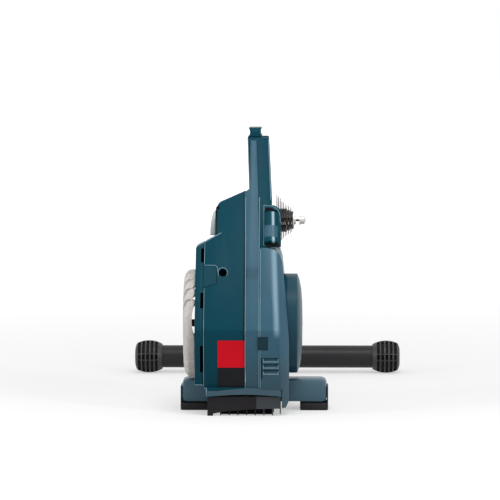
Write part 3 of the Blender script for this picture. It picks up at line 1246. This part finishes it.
def bearing_carrier():
    """The flanged tube on the left plate that holds the lower shaft's outer bearing beside the flywheel."""
    right = LEFT_PLATE_X - GAP
    flange_left = right - 4.7 * MM
    seat = LOWER_BEARING_RADIUS + GAP
    profile = [
        (right, CARRIER_RADIUS + 10 * MM), (flange_left, CARRIER_RADIUS + 10 * MM), (flange_left, CARRIER_RADIUS),
        (CARRIER_LEFT, CARRIER_RADIUS), (CARRIER_LEFT, seat), (CARRIER_LEFT + LOWER_BEARING_WIDTH + 1 * MM, seat),
        (CARRIER_LEFT + LOWER_BEARING_WIDTH + 1 * MM, 12 * MM), (right, 12 * MM)]
    return turned("bearing_carrier", profile, LOWER_SHAFT, "aluminium", 28, ring=True)


def oil_housing():
    """The cup that holds the oil, flanged on its rim, with a hole for the shaft in its left wall."""
    flange = HOUSING_RIGHT - 5 * MM
    body = HOUSING_RADIUS - 4 * MM
    inner = body - HOUSING_WALL
    hole = LOWER_SHAFT_RADIUS + RUNNING
    profile = [
        (HOUSING_RIGHT, HOUSING_RADIUS), (flange, HOUSING_RADIUS), (flange, body), (HOUSING_LEFT + 4 * MM, body),
        (HOUSING_LEFT, body - 4 * MM), (HOUSING_LEFT, hole), (HOUSING_LEFT + HOUSING_WALL, hole),
        (HOUSING_LEFT + HOUSING_WALL, inner), (HOUSING_RIGHT, inner)]
    return turned("oil_housing", profile, LOWER_SHAFT, "aluminium", 40, ring=True)


def housing_cover():
    """The plate that closes the oil housing."""
    left = HOUSING_RIGHT + GAP
    right = HOUSING_RIGHT + HOUSING_FLANGE - GAP
    profile = [
        (right, 0), (right, 30 * MM), (right - 3 * MM, 34 * MM), (right - 3 * MM, HOUSING_RADIUS - 2 * MM),
        (right - 5 * MM, HOUSING_RADIUS), (left, HOUSING_RADIUS), (left, 0)]
    return turned("housing_cover", profile, LOWER_SHAFT, "aluminium", 32)


def shaft_seal():
    left = HOUSING_LEFT + HOUSING_WALL + GAP
    return ring("shaft_seal", LOWER_SHAFT, left, left + 4 * MM, 15 * MM, LOWER_SHAFT_RADIUS + RUNNING, "rubber", 24)


def rotor():
    """The bladed wheel that stirs the oil."""
    left = HOUSING_LEFT + HOUSING_WALL + 6 * MM
    right = HOUSING_RIGHT - 4 * MM
    boss = LOWER_SHAFT_RADIUS + 7 * MM
    profile = [
        (right, boss), (left + 2.5 * MM, boss), (left + 2.5 * MM, 60 * MM), (left, 60 * MM),
        (left, FLYWHEEL_BORE), (right, FLYWHEEL_BORE)]
    wheel = turned("rotor", profile, LOWER_SHAFT, "aluminium", 32, ring=True)
    blades = []
    for number in range(ROTOR_BLADES):
        turn = 360 / ROTOR_BLADES * number
        blades.append(blade_outline(LOWER_SHAFT, boss - 1 * MM, 70 * MM, 3 * MM, 3 * MM, turn, 22))
    return join(wheel, prism("rotor_blades", blades[0], left + 1 * MM, right - 2 * MM, SIDE_VIEW, None, blades[1:]))


def blade_outline(centre, inner, outer, inner_width, outer_width, turn, sweep, steps=3):
    """A curved blade from one radius to another, turned by an angle and swept back towards its tip."""
    lead, trail = [], []
    for step in range(steps + 1):
        share = step / steps
        radius = inner + (outer - inner) * share
        half = (inner_width + (outer_width - inner_width) * share) / 2
        angle = math.radians(turn + sweep * share * share)
        spread = half / radius
        lead.append((centre.y + radius * math.cos(angle + spread), centre.z + radius * math.sin(angle + spread)))
        trail.append((centre.y + radius * math.cos(angle - spread), centre.z + radius * math.sin(angle - spread)))
    return trail + lead[::-1]


def flywheel():
    """The finned flywheel: a dished ring with grooves between its petals, hollowed on the casing's side."""
    left, right = FLYWHEEL_OUTER_X, FLYWHEEL_INNER_X
    rim = FLYWHEEL_RADIUS
    web = left + 9 * MM
    profile = [
        (web, 50 * MM), (web + 2 * MM, rim - 31 * MM), (right, rim - 25 * MM), (right, rim),
        (left + 12 * MM, rim), (left + 6.5 * MM, rim - 4.5 * MM), (left + 2.5 * MM, rim - 14 * MM),
        (left, rim - 32 * MM), (left, 26 * MM), (left + 5 * MM, 22 * MM), (left + 5 * MM, FLYWHEEL_BORE),
        (web, FLYWHEEL_BORE)]
    wheel = turned("flywheel", profile, LOWER_SHAFT, "flywheel_grey", 48, ring=True)
    half_chord = FLYWHEEL_WAIST_HEIGHT / 2
    waist_radius = (half_chord ** 2 + FLYWHEEL_WAIST_DEPTH ** 2) / (2 * FLYWHEEL_WAIST_DEPTH)
    bpy.ops.mesh.primitive_cylinder_add(vertices=96, radius=waist_radius, depth=4 * rim, rotation=(math.pi / 2, 0, 0))
    waist = place(bpy.context.object, "flywheel_waist")
    waist.rotation_euler.z = FLYWHEEL_WAIST_TURN
    waist.location = (right - FLYWHEEL_WAIST_DEPTH + waist_radius, LOWER_SHAFT.y - rim, LOWER_SHAFT.z)
    cut(wheel, waist)
    for number, angle in enumerate(FLYWHEEL_JOINTS):
        groove = block(f"petal_groove_{number}", (left - 10 * MM, -PETAL_GROOVE / 2, rim - PETAL_GROOVE_DEPTH),
                       (right + 10 * MM, PETAL_GROOVE / 2, rim + 10 * MM))
        groove.rotation_euler = (math.radians(90 - angle), 0, 0)
        turn = groove.rotation_euler.to_matrix()
        groove.location = Vector((groove.location.x, 0, 0)) + LOWER_SHAFT + turn @ Vector((0, 0, groove.location.z))
        cut(wheel, groove)
    boss_right = LEFT_COVER_SIDE - 3 * MM
    boss_radius = FLYWHEEL_BORE + 5 * MM
    boss = turned("flywheel_boss", [
        (boss_right, FLYWHEEL_BORE), (boss_right, boss_radius), (web - 3 * MM, boss_radius + 4 * MM),
        (web - 3 * MM, FLYWHEEL_BORE)], LOWER_SHAFT, ring=True)
    return join(wheel, boss)


def flywheel_nut():
    left = FLYWHEEL_OUTER_X - 1 * MM
    right = FLYWHEEL_OUTER_X + 5 * MM - GAP
    bore = hexagon_bore(LOWER_SHAFT_RADIUS)
    profile = [(right, 13 * MM), (left, 13 * MM), (left, bore), (right, bore)]
    return turned("flywheel_nut", profile, LOWER_SHAFT, "steel", 6, ring=True)


def build():
    left_shell()
    right_shell()
    upper_right_cover()
    side_cover()
    side_cap()
    left_cover()
    lower_right_cover()
    dome_cover()
    spine_cover()
    sensor_pod()
    handle()
    bottom_trim()
    rear_stand()
    label("red_label", 98 * MM, 153 * MM, "red_label")
    label("black_label", 57.5 * MM, 97 * MM, "black_label")
    side_plate("left_plate", LEFT_PLATE_X)
    side_plate("right_plate", RIGHT_PLATE_X)
    cross_tube()
    base_beam()
    hinge_bracket()
    hinge_pin()
    foot_shell("left_foot", FOOT_LEFT_END, BEAM_LEFT - 3 * MM)
    foot_shell("right_foot", BEAM_RIGHT + 3 * MM, FOOT_RIGHT_END)
    foot_pad("left_pad", FOOT_LEFT_END, LEFT_SIDE + 8 * MM)
    foot_pad("right_pad", FOOT_RIGHT_END, 74 * MM)
    front_bar()
    barrel("left_barrel", -1)
    barrel("right_barrel", 1)
    leg_tube()
    lock_knob()
    axle()
    end_caps()
    bearing("left_hub_bearing", AXLE, LEFT_HUB_BEARING_X, HUB_BEARING_WIDTH, HUB_BEARING_RADIUS, HUB_RADIUS + GAP)
    bearing("right_hub_bearing", AXLE, RIGHT_HUB_BEARING_X, HUB_BEARING_WIDTH, HUB_BEARING_RADIUS, HUB_RADIUS + GAP)
    hub_shaft()
    drive_pulley()
    belt()
    freehub_body()
    cassette()
    lockring()
    skewer()
    cam_lever()
    lower_shaft()
    bearing_carrier()
    bearing("left_lower_bearing", LOWER_SHAFT, CARRIER_LEFT + GAP, LOWER_BEARING_WIDTH, LOWER_BEARING_RADIUS,
            LOWER_SHAFT_RADIUS + GAP)
    bearing("right_lower_bearing", LOWER_SHAFT, RIGHT_PLATE_X - 2 * MM, LOWER_BEARING_WIDTH, LOWER_BEARING_RADIUS,
            LOWER_SHAFT_RADIUS + GAP)
    pulley("small_pulley", LOWER_SHAFT, SMALL_PULLEY_RADIUS, FLYWHEEL_BORE, False, "steel")
    oil_housing()
    housing_cover()
    shaft_seal()
    rotor()
    flywheel()
    flywheel_nut()


build()
